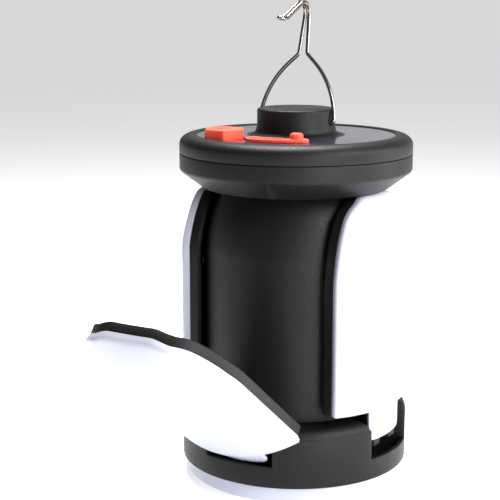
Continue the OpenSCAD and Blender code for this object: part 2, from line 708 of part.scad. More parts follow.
head_top_shell();
head_bottom_shell();
head_seal();
head_screws();
solar_panel();
solar_cover();
hanging_hook();
power_button();
port_cover();
usb_a_socket();
usb_c_socket();
control_board();
power_switch();
column_tube();
battery_cells();
battery_tray();
column_leads();
base_housing();
base_deck();
hinge_pins();
bottom_lens();
bottom_led_board();
bottom_leds();
base_screws();
deck_screws();
front_leaf_lens();
front_leaf_back();
front_leaf_board();
front_leaf_leds();
front_leaf_screws();
right_leaf_lens();
right_leaf_back();
right_leaf_board();
right_leaf_leds();
right_leaf_screws();
rear_leaf_lens();
rear_leaf_back();
rear_leaf_board();
rear_leaf_leds();
rear_leaf_screws();
left_leaf_lens();
left_leaf_back();
left_leaf_board();
left_leaf_leds();
left_leaf_screws();
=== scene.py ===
import json
import math
import bpy
import bmesh
from mathutils import Matrix, Vector


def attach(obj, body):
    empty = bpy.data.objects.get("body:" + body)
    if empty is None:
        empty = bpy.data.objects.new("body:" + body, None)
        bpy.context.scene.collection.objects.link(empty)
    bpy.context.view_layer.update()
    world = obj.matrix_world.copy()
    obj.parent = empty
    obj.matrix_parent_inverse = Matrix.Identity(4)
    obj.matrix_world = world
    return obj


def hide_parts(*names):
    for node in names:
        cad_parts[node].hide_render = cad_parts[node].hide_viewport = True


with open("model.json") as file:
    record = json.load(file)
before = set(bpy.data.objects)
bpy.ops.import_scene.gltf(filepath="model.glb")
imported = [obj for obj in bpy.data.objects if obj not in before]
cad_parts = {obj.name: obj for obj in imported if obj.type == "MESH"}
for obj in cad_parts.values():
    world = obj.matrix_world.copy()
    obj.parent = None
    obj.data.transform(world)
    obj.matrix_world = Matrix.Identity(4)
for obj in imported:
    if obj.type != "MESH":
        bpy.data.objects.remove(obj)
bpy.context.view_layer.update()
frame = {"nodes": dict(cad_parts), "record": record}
MM = 0.001
sin, cos, pi = math.sin, math.cos, math.pi


def rad(a):
    return a * pi / 180


# ------------------------------------------------------------------ sizes, in mm
OPEN = 52.3
LEAF_R, LEAF_T, LEAF_HALF, LEAF_Z0 = 59.2, 10.7, 41.0, 44.2
HINGE_R, HINGE_Z = 47.0, 24.4
HEAD_R, SEAM, PANEL_R, BOSS_R = 60.0, 170.0, 51.0, 20.0
CONE_Z0, CONE_Z1 = SEAM - 17.6, SEAM - 8.5
TOP = SEAM + 9.5
RECESS, COVER, BOSS_Z, PIVOT = TOP - 1.9, TOP - 0.5, TOP + 13, TOP + 5.9
BASE_R, LENS_H, DECK, NOTCH = 59.3, 9.0, 39.0, 19.0
LOW_WALL, BAND, FLOOR = LENS_H + 10.6, DECK - 5, LENS_H + 2.2
WALL_B, HUB_R, COLUMN_R = 2.5, HINGE_R - 5.2, 46.7
LEAF_Z1 = CONE_Z0 - 0.6
LEAVES = (("front", 0), ("right", 90), ("rear", 180), ("left", 270))


# the leaves and the column draw in from DRAW_Z0 towards DRAW_Z1, the leaves' sides close in from ROUND_Z,
# and their tips flatten across from FLAT_Z
DRAW_Z0, DRAW_Z1, DRAW_IN, DRAW_POW, INNER_SHARE = 121, 157, 12.5, 1.35, 0.85
ROUND_Z, ROUND_POW, FLAT_Z, FLAT_OUT, FLAT_IN = 104, 2.6, 125, 4, 3.5


def drop(z):
    """How far the leaf's face is drawn in at a height."""
    if z <= DRAW_Z0:
        return 0.0
    return DRAW_IN * (1 - (1 - ((z - DRAW_Z0) / (DRAW_Z1 - DRAW_Z0)) ** DRAW_POW) ** (1 / DRAW_POW))


def half_at(z):
    """The leaf's half angle at a height."""
    if z <= ROUND_Z:
        return LEAF_HALF
    return LEAF_HALF * (1 - ((z - ROUND_Z) / (DRAW_Z1 - ROUND_Z)) ** ROUND_POW) ** (1 / ROUND_POW)


def flatten(z):
    """How much of the tip's flattening is reached at a height."""
    return 0 if z <= FLAT_Z else ((z - FLAT_Z) / (LEAF_Z1 - FLAT_Z)) ** 3


# ------------------------------------------------------------------ mesh helpers
def mesh_object(name, verts, faces, mat, smooth=True, angle=35):
    me = bpy.data.meshes.new(name)
    me.from_pydata([tuple(c * MM for c in v) for v in verts], [], faces)
    bm = bmesh.new()
    bm.from_mesh(me)
    bmesh.ops.remove_doubles(bm, verts=bm.verts, dist=1e-7)
    bmesh.ops.recalc_face_normals(bm, faces=bm.faces)
    bm.to_mesh(me)
    bm.free()
    o = bpy.data.objects.new(name, me)
    bpy.context.scene.collection.objects.link(o)
    me.materials.append(mat)
    if smooth:
        shade(o, angle)
    return o


def shade(o, angle=35):
    me = o.data
    for p in me.polygons:
        p.use_smooth = True
    me.set_sharp_from_angle(angle=rad(angle))


def fillet(points, radii, n=6):
    """A closed outline with each corner i rounded by radii[i]."""
    out = []
    count = len(points)
    for i, (p, r) in enumerate(zip(points, radii)):
        if r <= 0:
            out.append(p)
            continue
        a, b = Vector(points[i - 1]), Vector(points[(i + 1) % count])
        p = Vector(p)
        u, v = (a - p), (b - p)
        lu, lv = u.length, v.length
        u.normalize()
        v.normalize()
        ang = u.angle(v)
        t = min(r / math.tan(ang / 2), lu * 0.49, lv * 0.49)
        r = t * math.tan(ang / 2)
        c = p + (u + v).normalized() * (r / sin(ang / 2))
        s, e = p + u * t - c, p + v * t - c
        turn = s.angle(e)
        sign = 1 if s.x * e.y - s.y * e.x > 0 else -1
        for k in range(n + 1):
            w = sign * turn * k / n
            out.append((c.x + s.x * cos(w) - s.y * sin(w), c.y + s.x * sin(w) + s.y * cos(w)))
    return out


def lathe(name, profile, mat, segs=192, closed=True, angle=35):
    verts, faces = [], []
    n = len(profile)
    for k in range(segs):
        a = 2 * pi * k / segs
        for r, z in profile:
            verts.append((r * sin(a), -r * cos(a), z))
    last = n if closed else n - 1
    for k in range(segs):
        k2 = (k + 1) % segs
        for i in range(last):
            j = (i + 1) % n
            faces.append((k * n + i, k * n + j, k2 * n + j, k2 * n + i))
    return mesh_object(name, verts, faces, mat, angle=angle)


def resample(loop, n):
    pts = [Vector(p) for p in loop]
    lens = [0]
    for i in range(len(pts)):
        lens.append(lens[-1] + (pts[(i + 1) % len(pts)] - pts[i]).length)
    total, out, j = lens[-1], [], 0
    for k in range(n):
        s = total * k / n
        while lens[j + 1] < s:
            j += 1
        a, b = pts[j], pts[(j + 1) % len(pts)]
        t = (s - lens[j]) / max(lens[j + 1] - lens[j], 1e-9)
        out.append(a.lerp(b, t))
    return out


def inset(loop, d):
    """The outline moved inwards by d; the outline runs anticlockwise."""
    n, out = len(loop), []
    for i in range(n):
        t = (loop[(i + 1) % n] - loop[i - 1]).normalized()
        out.append(loop[i] + Vector((-t.y, t.x)) * d)
    return out


ROWS = 26  # rows of faces from a plate's edge to its middle


def plate(name, outline, place, front, back, mat, n=220, angle=40):
    """A curved plate. front and back list (inset, depth) steps from the rim to the middle;
    place(s, z, depth) turns outline coordinates into a point."""
    rim = resample(outline, n)
    cx = sum(p.x for p in rim) / n
    cz = sum(p.y for p in rim) / n
    verts, faces = [], []

    def row(loop, depth):
        start = len(verts)
        verts.extend(place(p.x, p.y, depth) for p in loop)
        return start

    def join(a, b):
        for i in range(n):
            j = (i + 1) % n
            faces.append((a + i, a + j, b + j, b + i))

    def cap(steps):
        prev = None
        loop = rim
        for d, depth in steps:
            loop = inset(rim, d) if d > 0 else rim
            cur = row(loop, depth)
            if prev is not None:
                join(prev, cur)
            prev = cur
        depth = steps[-1][1]
        for f in (1 - i / ROWS for i in range(1, ROWS)):
            cur = row([Vector((cx + (p.x - cx) * f, cz + (p.y - cz) * f)) for p in loop], depth)
            join(prev, cur)
            prev = cur
        verts.append(place(cx, cz, depth))
        mid = len(verts) - 1
        for i in range(n):
            faces.append((prev + i, prev + (i + 1) % n, mid))
    first = len(verts)
    cap(front)
    second = len(verts)
    cap(back)
    join(first, second)
    return mesh_object(name, verts, faces, mat, angle=angle)


def ring_blocks(name, thetas, radii, heights, filled, mat, bevel=0.4, segments=3, skip=None):
    """Blocks of a round grid, turned into one closed skin with rounded edges."""
    nt, nr, nz = len(thetas), len(radii) - 1, len(heights) - 1
    index, verts, faces = {}, [], []

    def vertex(i, j, k):
        key = (i % nt, j, k)
        if key not in index:
            a, r = rad(thetas[key[0]]), radii[j]
            index[key] = len(verts)
            verts.append((r * sin(a), -r * cos(a), heights[k]))
        return index[key]

    def full(i, j, k):
        return 0 <= j < nr and 0 <= k < nz and filled(i % nt, j, k)
    for i in range(nt):
        for j in range(nr):
            for k in range(nz):
                if not full(i, j, k):
                    continue
                v = vertex
                if not full(i, j - 1, k):
                    faces.append((v(i, j, k), v(i, j, k + 1), v(i + 1, j, k + 1), v(i + 1, j, k)))
                if not full(i, j + 1, k):
                    faces.append((v(i, j + 1, k),
                                  v(i + 1, j + 1, k), v(i + 1, j + 1, k + 1), v(i, j + 1, k + 1)))
                if not full(i - 1, j, k):
                    faces.append((v(i, j, k), v(i, j + 1, k), v(i, j + 1, k + 1), v(i, j, k + 1)))
                if not full(i + 1, j, k):
                    faces.append((v(i + 1, j, k), v(i + 1, j, k + 1),
                                  v(i + 1, j + 1, k + 1), v(i + 1, j + 1, k)))
                if not full(i, j, k - 1):
                    faces.append((v(i, j, k), v(i + 1, j, k), v(i + 1, j + 1, k), v(i, j + 1, k)))
                if not full(i, j, k + 1):
                    faces.append((v(i, j, k + 1), v(i, j + 1, k + 1),
                                  v(i + 1, j + 1, k + 1), v(i + 1, j, k + 1)))
    o = mesh_object(name, verts, faces, mat, smooth=False)
    round_edges(o, bevel, segments)
    return o


def round_edges(o, width, segments=3, limit=50):
    m = o.modifiers.new("edges", "BEVEL")
    m.width = width * MM
    m.segments = segments
    m.limit_method = "ANGLE"
    m.angle_limit = rad(limit)
    m.miter_outer = "MITER_ARC"
    m.harden_normals = False
    apply_modifiers(o)
    shade(o, 30)


def apply_modifiers(o):
    deps = bpy.context.evaluated_depsgraph_get()
    me = bpy.data.meshes.new_from_object(o.evaluated_get(deps))
    o.modifiers.clear()
    old = o.data
    o.data = me
    bpy.data.meshes.remove(old)


def turned(o, azimuth, swing=0):
    m = (Matrix.Rotation(rad(azimuth), 4, "Z") @ Matrix.Translation((0, -HINGE_R * MM, HINGE_Z * MM))
         @ Matrix.Rotation(rad(swing), 4, "X") @ Matrix.Translation((0, HINGE_R * MM, -HINGE_Z * MM)))
    o.data.transform(m)
    return o


def joined(name, objs):
    bm = bmesh.new()
    mats = list(objs[0].data.materials)
    for o in objs:
        bm.from_mesh(o.data)
    me = bpy.data.meshes.new(name)
    bm.to_mesh(me)
    bm.free()
    for m in mats:
        me.materials.append(m)
    for o in objs:
        bpy.data.objects.remove(o)
    out = bpy.data.objects.new(name, me)
    bpy.context.scene.collection.objects.link(out)
    return out


def copied(o, name):
    c = bpy.data.objects.new(name, o.data.copy())
    bpy.context.scene.collection.objects.link(c)
    return c


def finish(o, body, slot, *nodes):
    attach(o, body)
    if nodes:
        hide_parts(*nodes)
    return o


# ------------------------------------------------------------------ materials
def material(name, **sockets):
    m = bpy.data.materials.new(name)
    m.use_nodes = True
    bsdf = m.node_tree.nodes["Principled BSDF"]
    for k, v in sockets.items():
        bsdf.inputs[k.replace("_", " ")].default_value = v
    return m, m.node_tree, bsdf


def node(tree, kind, links=(), **props):
    n = tree.nodes.new(kind)
    for k, v in props.items():
        if k in n.inputs.keys():
            n.inputs[k].default_value = v
        else:
            setattr(n, k, v)
    for socket, source in links:
        tree.links.new(source, n.inputs[socket])
    return n


def noise(tree, scale, detail=3, rough=0.5, vector=None):
    n = node(tree, "ShaderNodeTexNoise", Scale=scale, Detail=detail, Roughness=rough)
    if vector is None:
        vector = node(tree, "ShaderNodeTexCoord").outputs["Object"]
    tree.links.new(vector, n.inputs["Vector"])
    return n.outputs["Fac"]


def ramp(tree, fac, stops, interp="LINEAR"):
    r = node(tree, "ShaderNodeValToRGB")
    r.color_ramp.interpolation = interp
    el = r.color_ramp.elements
    while len(el) < len(stops):
        el.new(0.5)
    for e, (pos, col) in zip(el, stops):
        e.position = pos
        e.color = col if len(col) == 4 else (*col, 1)
    tree.links.new(fac, r.inputs["Fac"])
    return r.outputs["Color"]


def bump(tree, bsdf, height, strength, distance, under=None):
    b = node(tree, "ShaderNodeBump", Strength=strength, Distance=distance)
    tree.links.new(height, b.inputs["Height"])
    if under is not None:
        tree.links.new(under, b.inputs["Normal"])
    tree.links.new(b.outputs["Normal"], bsdf.inputs["Normal"])
    return b.outputs["Normal"]


def grey(v):
    return (v, v, v, 1)


def math_node(tree, op, a, b):
    n = node(tree, "ShaderNodeMath", operation=op)
    for i, x in enumerate((a, b)):
        if isinstance(x, (int, float)):
            n.inputs[i].default_value = x
        else:
            tree.links.new(x, n.inputs[i])
    return n.outputs[0]


def make_black():
    m, t, b = material("textured_black_plastic", IOR=1.5, Specular_IOR_Level=0.26)
    grain = noise(t, 1500, 2, 0.6)
    wide = noise(t, 30, 3, 0.5)
    worn = node(t, "ShaderNodeNewGeometry").outputs["Pointiness"]
    edge = ramp(t, worn, [(0.50, grey(0)), (0.60, grey(0.6))])
    base = ramp(t, wide, [(0.3, (0.0035, 0.0035, 0.0038)), (0.7, (0.0055, 0.0055, 0.0058))])
    mix = node(t, "ShaderNodeMix", data_type="RGBA")
    mix.inputs[7].default_value = (0.02, 0.02, 0.021, 1)
    t.links.new(edge, mix.inputs[0])
    t.links.new(base, mix.inputs[6])
    t.links.new(mix.outputs[2], b.inputs["Base Color"])
    t.links.new(ramp(t, grain, [(0.3, grey(0.36)), (0.7, grey(0.60))]), b.inputs["Roughness"])
    bump(t, b, grain, 0.55, 0.00022)
    return m


def make_lens(name):
    m, t, b = material(name, Subsurface_Weight=0.25, Subsurface_Scale=0.004, IOR=1.5,
                       Subsurface_Radius=(0.9, 0.95, 1.0), Coat_Weight=0.15, Coat_Roughness=0.25)
    coords = node(t, "ShaderNodeTexCoord").outputs["Object"]
    wide = noise(t, 22, 2, 0.4, coords)
    fine = noise(t, 2400, 2, 0.5, coords)
    t.links.new(ramp(t, wide, [(0.3, (0.54, 0.56, 0.67)), (0.7, (0.60, 0.615, 0.715))]),
                b.inputs["Base Color"])
    t.links.new(ramp(t, fine, [(0.3, grey(0.34)), (0.7, grey(0.46))]), b.inputs["Roughness"])
    bump(t, b, fine, 0.12, 0.00006)
    return m


def make_orange():
    m, t, b = material("orange_silicone", IOR=1.45, Subsurface_Weight=0.12, Subsurface_Scale=0.002,
                       Subsurface_Radius=(1.0, 0.3, 0.15), Sheen_Weight=0.15, Sheen_Roughness=0.5)
    wide = noise(t, 120, 3, 0.5)
    fine = noise(t, 2600, 2, 0.5)
    t.links.new(ramp(t, wide, [(0.3, (0.93, 0.075, 0.028)), (0.7, (1.0, 0.105, 0.042))]),
                b.inputs["Base Color"])
    t.links.new(ramp(t, fine, [(0.3, grey(0.42)), (0.7, grey(0.58))]), b.inputs["Roughness"])
    bump(t, b, fine, 0.2, 0.00008)
    return m


def make_metal(name, color, rough0, rough1, scale=700):
    m, t, b = material(name, Metallic=1.0)
    wide = noise(t, scale, 3, 0.6)
    t.links.new(ramp(t, wide, [(0.3, (*[c * 0.93 for c in color], 1)), (0.7, (*color, 1))]),
                b.inputs["Base Color"])
    t.links.new(ramp(t, wide, [(0.3, grey(rough0)), (0.7, grey(rough1))]), b.inputs["Roughness"])
    bump(t, b, noise(t, scale * 3, 2, 0.5), 0.05, 0.00003)
    return m


def make_film():
    m, t, b = material("solar_film", IOR=1.5, Specular_IOR_Level=0.5, Coat_Weight=0.5, Coat_Roughness=0.12,
                       Coat_IOR=1.45)
    coords = node(t, "ShaderNodeTexCoord").outputs["Object"]
    sep = node(t, "ShaderNodeSeparateXYZ", links=[("Vector", coords)])
    ang = math_node(t, "ARCTAN2", sep.outputs[0], sep.outputs[1])
    fingers = math_node(t, "FRACT", math_node(t, "MULTIPLY", ang, 120 / (2 * pi)), 0)
    bars = math_node(t, "FRACT", math_node(t, "MULTIPLY", ang, 12 / (2 * pi)), 0)
    thin = ramp(t, fingers, [(0.0, grey(1)), (0.07, grey(1)), (0.09, grey(0))], "CONSTANT")
    thick = ramp(t, bars, [(0.0, grey(1)), (0.028, grey(1)), (0.03, grey(0))], "CONSTANT")
    lines = math_node(t, "MAXIMUM", thin, thick)
    cell = ramp(t, noise(t, 160, 4, 0.6, coords),
                [(0.3, (0.006, 0.008, 0.022)), (0.7, (0.014, 0.018, 0.046))])
    mix = node(t, "ShaderNodeMix", data_type="RGBA")
    t.links.new(lines, mix.inputs[0])
    t.links.new(cell, mix.inputs[6])
    mix.inputs[7].default_value = (0.16, 0.17, 0.19, 1)
    t.links.new(mix.outputs[2], b.inputs["Base Color"])
    t.links.new(ramp(t, noise(t, 300, 3, 0.5, coords), [(0.3, grey(0.10)), (0.7, grey(0.17))]),
                b.inputs["Roughness"])
    return m


def make_plain(name, lo, hi, r0, r1, scale=400, metallic=0.0):
    m, t, b = material(name, Metallic=metallic)
    f = noise(t, scale, 3, 0.5)
    t.links.new(ramp(t, f, [(0.3, lo), (0.7, hi)]), b.inputs["Base Color"])
    t.links.new(ramp(t, f, [(0.3, grey(r0)), (0.7, grey(r1))]), b.inputs["Roughness"])
    bump(t, b, noise(t, scale * 4, 2, 0.5), 0.1, 0.00005)
    return m


BLACK = make_black()
LENS = make_lens("frosted_lens")
ORANGE = make_orange()
WIRE = make_metal("hook_wire", (0.30, 0.28, 0.265), 0.12, 0.24)
STEEL = make_metal("zinc_steel", (0.62, 0.62, 0.64), 0.28, 0.42)
FILM = make_film()
SOCKET = make_metal("socket_metal", (0.70, 0.70, 0.72), 0.2, 0.35)
CELL = make_plain("solar_cell", (0.01, 0.012, 0.03), (0.02, 0.025, 0.06), 0.25, 0.4)
BOARD = make_plain("led_board", (0.75, 0.75, 0.72), (0.85, 0.85, 0.82), 0.35, 0.5)
LED = make_plain("led_phosphor", (0.85, 0.68, 0.16), (0.95, 0.80, 0.25), 0.3, 0.45)
PCB = make_plain("circuit_board", (0.02, 0.12, 0.05), (0.03, 0.17, 0.07), 0.3, 0.45)
SEAL = make_plain("seal_rubber", (0.012, 0.012, 0.012), (0.02, 0.02, 0.02), 0.6, 0.8)
SWITCH = make_plain("switch_plastic", (0.03, 0.03, 0.035), (0.05, 0.05, 0.055), 0.4, 0.55)
WRAP = make_plain("battery_wrap", (0.05, 0.16, 0.40), (0.07, 0.21, 0.48), 0.25, 0.35)
TRAY = make_plain("tray_plastic", (0.62, 0.62, 0.57), (0.72, 0.72, 0.66), 0.45, 0.6)
LEAD = make_plain("lead_wire", (0.5, 0.03, 0.03), (0.6, 0.05, 0.05), 0.4, 0.5)

BY_SLOT = {"frosted_lens": LENS, "black_shell": BLACK, "led_board": BOARD, "led": LED, "steel": STEEL,
           "seal": SEAL, "solar_cell": CELL, "solar_film": FILM, "hook_chrome": WIRE,
           "orange_silicone": ORANGE,
           "socket_metal": SOCKET, "circuit_board": PCB, "switch_plastic": SWITCH, "battery_wrap": WRAP,
           "tray_plastic": TRAY, "lead_wire": LEAD}
slots = {s["node"]: s["material_slot"] for s in frame["record"]["subparts"]}
for name, o in frame["nodes"].items():
    o.data.materials.clear()
    o.data.materials.append(BY_SLOT[slots[name]])

# ------------------------------------------------------------------ leaves
EDGE = 1.8
RIM = 3.6


def leaf_point(s, z, depth):
    """Round like the column low down, drawn in and flattened across towards the tip."""
    share = max(0, depth - RIM) / (LEAF_T - RIM)
    r = LEAF_R - depth - drop(z) * (1 - (1 - INNER_SHARE) * share)
    x, y = r * sin(s / LEAF_R), r * cos(s / LEAF_R)
    y -= (FLAT_OUT + (FLAT_IN - FLAT_OUT) * share) * flatten(z) * max(0, 1 - (x / 20) ** 2)
    return (x, -y, z)


def leaf_outline(corner=0.7, tip=10.0):
    """The leaf's edge, by its distance round the column and its height."""
    k = LEAF_R * pi / 180
    zs = [ROUND_Z + (LEAF_Z1 - tip - ROUND_Z) * i / 10 for i in range(10)]
    zs += [LEAF_Z1 - tip * (1 - sin(pi / 2 * i / 14)) for i in range(15)]
    right = []
    for z in zs:
        t = max(0, z - LEAF_Z1 + tip) / tip
        right.append((half_at(z) * k - tip * (1 - math.sqrt(max(0, 1 - t * t))), z))
    w = LEAF_HALF * k
    pts = [(w, LEAF_Z0)] + right + [(-x, z) for x, z in reversed(right)] + [(-w, LEAF_Z0)]
    return fillet(pts, [corner] + [0] * (2 * len(right)) + [corner], 8)


def arc_steps(r, n=7):
    return [(r - r * cos(pi / 2 * i / n), r - r * sin(pi / 2 * i / n)) for i in range(n + 1)]


def tab_plate(name, r0, r1, z0, z1, half, mat, edge=0.5):
    k = r1 * pi / 180

    def place(s, z, depth):
        a = s / r1
        r = r1 - depth
        return (r * sin(a), -r * cos(a), z)
    w = half * k
    loop = fillet([(w, z0), (w, z1), (-w, z1), (-w, z0)], [3.5, 0.3, 0.3, 3.5], 6)
    t = r1 - r0
    front = arc_steps(edge, 4)
    back = [(0, t - edge)] + [(a, t - b) for a, b in arc_steps(edge, 4)][1:]
    return plate(name, loop, place, front, back, mat, n=120)


lens_front = arc_steps(EDGE)
lens_back = [(0, RIM), (1.2, RIM)]
lens = plate("lens", leaf_outline(), leaf_point, lens_front, lens_back, LENS)
lens_tab = tab_plate("tab", LEAF_R - 5.3, LEAF_R - 3.6, HINGE_Z + 3.2, LEAF_Z0 + 1.4, 17.2, LENS)
lens = joined("lens", [lens, lens_tab])

WALL_T, BEVEL, ROUND = 4.8, 2.6, 20


def back_point(s, z, depth):
    """The back's wall runs straight in from the lens's rim. A depth with ROUND added is measured round the
    column instead."""
    if depth >= ROUND:
        return leaf_point(s, z, depth - ROUND)
    x, y, z = leaf_point(s, z, RIM)
    middle = 0.35 * (1 - min(1, abs(x) / 34) ** 2)
    return (x, y + depth * (1 - middle * max(0, depth - WALL_T) / 7.4), z)


back_front = [(0.0, 0.55), (0.12, 0.35), (0.5, 0.3), (1.2, 0.3)]
back_rear = [(0.0, 0.9), (0.0, WALL_T - 0.35), (0.1, WALL_T - 0.05), (0.35, WALL_T + 0.2), (BEVEL - 0.3, 7.1),
             (BEVEL, 7.3), (BEVEL + 0.5, 7.4), (BEVEL + 3.2, ROUND + LEAF_T), (BEVEL + 4.5, ROUND + LEAF_T)]
back = plate("back", leaf_outline(), back_point, back_front, back_rear, BLACK, angle=28)
back_tab = tab_plate("tab", LEAF_R - 7.9, LEAF_R - 5.35, HINGE_Z + 3.2, LEAF_Z0 + 2, 17.2, BLACK)


def knuckle(x):
    pts = [(HINGE_R + 3.05 * cos(a), HINGE_Z + 3.05 * sin(a)) for a in [rad(v) for v in range(70, 331, 10)]]
    pts += [(HINGE_R + 6.6, HINGE_Z - 0.7), (HINGE_R + 6.6, HINGE_Z + 6.8), (HINGE_R + 1.4, HINGE_Z + 6.8)]
    verts, faces, n = [], [], len(pts)
    for dx in (-3.5, 3.5):
        verts += [(x + dx, -r, z) for r, z in pts]
    faces = [tuple(range(n)), tuple(range(2 * n - 1, n - 1, -1))]
    faces += [(i, i + n, (i + 1) % n + n, (i + 1) % n) for i in range(n)]
    o = mesh_object("knuckle", verts, faces, BLACK, smooth=False)
    round_edges(o, 0.35, 2)
    return o


back = joined("back", [back, back_tab, knuckle(-8.5), knuckle(8.5)])

for k, az in LEAVES:
    swing = OPEN if k == "front" else 0
    for src, part, slot in ((lens, "lens", "frosted_lens"), (back, "back", "black_shell")):
        piece = turned(copied(src, f"{k}_leaf_{part}_skin"), az, swing)
        finish(piece, f"{k}_leaf", slot, f"{k}_leaf_{part}")
bpy.data.objects.remove(lens)
bpy.data.objects.remove(back)

# ------------------------------------------------------------------ base
thetas, kinds = [], []
for q in range(4):
    for i in range(14):
        thetas.append(q * 90 - NOTCH + 2 * NOTCH * i / 14)
        kinds.append(0)
    for i in range(20):
        thetas.append(q * 90 + NOTCH + (90 - 2 * NOTCH) * i / 20)
        kinds.append(1)
radii = [HUB_R - 2.2, HUB_R, BASE_R - WALL_B, BASE_R]
heights = [LENS_H, FLOOR + 2.5, LOW_WALL, BAND]


def base_filled(i, j, k):
    pillar = kinds[i]
    if k == 0:
        return True
    if k == 1:
        return j != 1 or pillar
    return pillar or j == 0


housing = ring_blocks("base_housing_skin", thetas, radii, heights, base_filled, BLACK, 0.45, 3)
hub = lathe("hub", fillet([(4, FLOOR), (HUB_R - 1, FLOOR), (HUB_R - 1, FLOOR + 2.5), (4, FLOOR + 2.5)],
                          [0.3] * 4, 3), BLACK, 96)
housing = joined("base_housing_skin", [housing, hub])
shade(housing, 30)
finish(housing, "lantern", "black_shell", "base_housing")


def g(t, r=5.0):
    t = min(max(t / r, 0), 1)
    return math.sqrt(max(0, 1 - (1 - t) ** 2))


def deck_pillar(q):
    rs = [BASE_R - 5 * (1 - cos(pi / 2 * i / 12)) for i in range(13)] + [52, 49.5, 47.5, 45.5, 43.5, HUB_R]
    half = 45 - NOTCH
    turns = []
    w = 5 / 55 * 180 / pi
    for i in range(11):
        turns.append(-half + w * (1 - cos(pi / 2 * i / 10)))
    m = 14
    turns += [-half + w + (2 * half - 2 * w) * i / m for i in range(1, m)]
    turns += [-t for t in reversed(turns[:11])]
    verts, faces = [], []
    lift = 0.12
    for t in turns:
        for r in rs:
            a = rad(q * 90 + 45 + t)
            side = (half - abs(t)) * pi / 180 * r
            z = BAND + lift + (DECK - BAND - lift) * g(BASE_R - r) * g(side)
            verts.append((r * sin(a), -r * cos(a), z))
    n, c = len(rs), len(turns)
    base = len(verts)
    for i, t in enumerate(turns):
        for j, r in enumerate(rs):
            x, y, z = verts[i * n + j]
            verts.append((x, y, BAND))
    for i in range(c - 1):
        for j in range(n - 1):
            a, b, d, e = i * n + j, i * n + j + 1, (i + 1) * n + j + 1, (i + 1) * n + j
            faces.append((a, b, d, e))
            faces.append((base + e, base + d, base + b, base + a))
    for i in range(c - 1):
        for j in (0, n - 1):
            a, b = i * n + j, (i + 1) * n + j
            faces.append((a, b, base + b, base + a))
    for j in range(n - 1):
        for i in (0, c - 1):
            a, b = i * n + j, i * n + j + 1
            faces.append((a, b, base + b, base + a))
    return mesh_object("pillar", verts, faces, BLACK, angle=50)


ring_edge = HUB_R + 0.02
deck_ring = lathe("deck_ring", fillet([(22, DECK - 2.4), (ring_edge, DECK - 2.4), (ring_edge, DECK), (22, DECK)],
                                      [0.3] * 4, 3), BLACK, 120)
deck = joined("base_deck_skin", [deck_pillar(q) for q in range(4)] + [deck_ring])
shade(deck, 50)
finish(deck, "lantern", "black_shell", "base_deck")

lens_r = BASE_R - 1.8
foot = [(0.2, 0), (lens_r - 4, 0)]
foot += [(lens_r - 4 + 4 * sin(rad(a)), 4 - 4 * cos(rad(a))) for a in range(5, 91, 5)]
foot += [(lens_r, LENS_H - 0.1), (BASE_R - WALL_B - 0.2, LENS_H - 0.05), (BASE_R - WALL_B - 0.2, FLOOR - 0.1),
         (BASE_R - WALL_B - 1.8, FLOOR - 0.1), (BASE_R - WALL_B - 1.8, 4.5), (lens_r - 5, 2), (0.2, 2)]
finish(lathe("bottom_lens_skin", foot, LENS, 192), "lantern", "frosted_lens", "bottom_lens")

# ------------------------------------------------------------------ column
zs = [DECK + 0.05] + [DRAW_Z0 + (CONE_Z0 - 0.1 - DRAW_Z0) * i / 24 for i in range(25)]
outer = [(COLUMN_R - INNER_SHARE * drop(z) - FLAT_IN * flatten(z), z) for z in zs]
profile = [(COLUMN_R - 0.5, DECK + 0.05), (COLUMN_R, DECK + 0.5)] + outer[1:]
profile += [(22, CONE_Z0 - 0.1), (22, CONE_Z0 - 2.6), (34, CONE_Z0 - 2.6), (44, 121), (44.5, DECK + 0.05)]
finish(lathe("column_skin", profile, BLACK, 192), "lantern", "black_shell", "column_tube")

# ------------------------------------------------------------------ head
cone_r = HEAD_R - 12
low = fillet([(12, CONE_Z0), (cone_r, CONE_Z0), (HEAD_R, CONE_Z1), (HEAD_R, SEAM - 0.12),
              (HEAD_R - 2.2, SEAM - 0.12), (HEAD_R - 2.2, CONE_Z1 + 0.5), (cone_r - 1, CONE_Z0 + 2.2),
              (12, CONE_Z0 + 2.2)], [0.3, 1.0, 2.2, 0.35, 0.2, 1, 1, 0.3], 6)
finish(lathe("head_bottom_skin", low, BLACK, 240), "lantern", "black_shell", "head_bottom_shell")

rim = [(HEAD_R - 6.5 + 6.5 * cos(rad(a)), TOP - 5 + 5 * sin(rad(a))) for a in range(0, 91, 5)]
flare = [(BOSS_R + 5 - 4.6 * sin(rad(a)), COVER + 3.4 - 3.4 * cos(rad(a))) for a in range(0, 91, 9)]
boss = [(BOSS_R, TOP + 4.2)]
boss += [(BOSS_R - 1.4 + 1.4 * cos(rad(a)), BOSS_Z - 1.4 + 1.4 * sin(rad(a))) for a in range(0, 91, 10)]
top = [(HEAD_R - 2.2, SEAM + 0.12), (HEAD_R - 0.35, SEAM + 0.12), (HEAD_R - 0.1, SEAM + 0.22),
       (HEAD_R, SEAM + 0.5)] + rim
top += [(PANEL_R + 0.7, TOP), (PANEL_R + 0.3, TOP - 0.12), (PANEL_R + 0.1, TOP - 0.5), (PANEL_R + 0.1, RECESS),
        (BOSS_R + 5, RECESS)] + flare + boss
top += [(0.2, BOSS_Z), (0.2, BOSS_Z - 2.2), (BOSS_R - 2.2, BOSS_Z - 2.7), (BOSS_R - 2.2, RECESS - 2),
        (PANEL_R + 1.5, RECESS - 2), (HEAD_R - 2.2, TOP - 5.4)]
finish(lathe("head_top_skin", top, BLACK, 240, angle=32), "lantern", "black_shell", "head_top_shell")

# ------------------------------------------------------------------ button
HEX_R, BX, BY = 11.0, -21.7, -34.5
FACE = TOP + 4.4


def hexagon(r, z):
    return [(BX + r * cos(rad(60 * i)), BY + r * sin(rad(60 * i)), z) for i in range(6)]


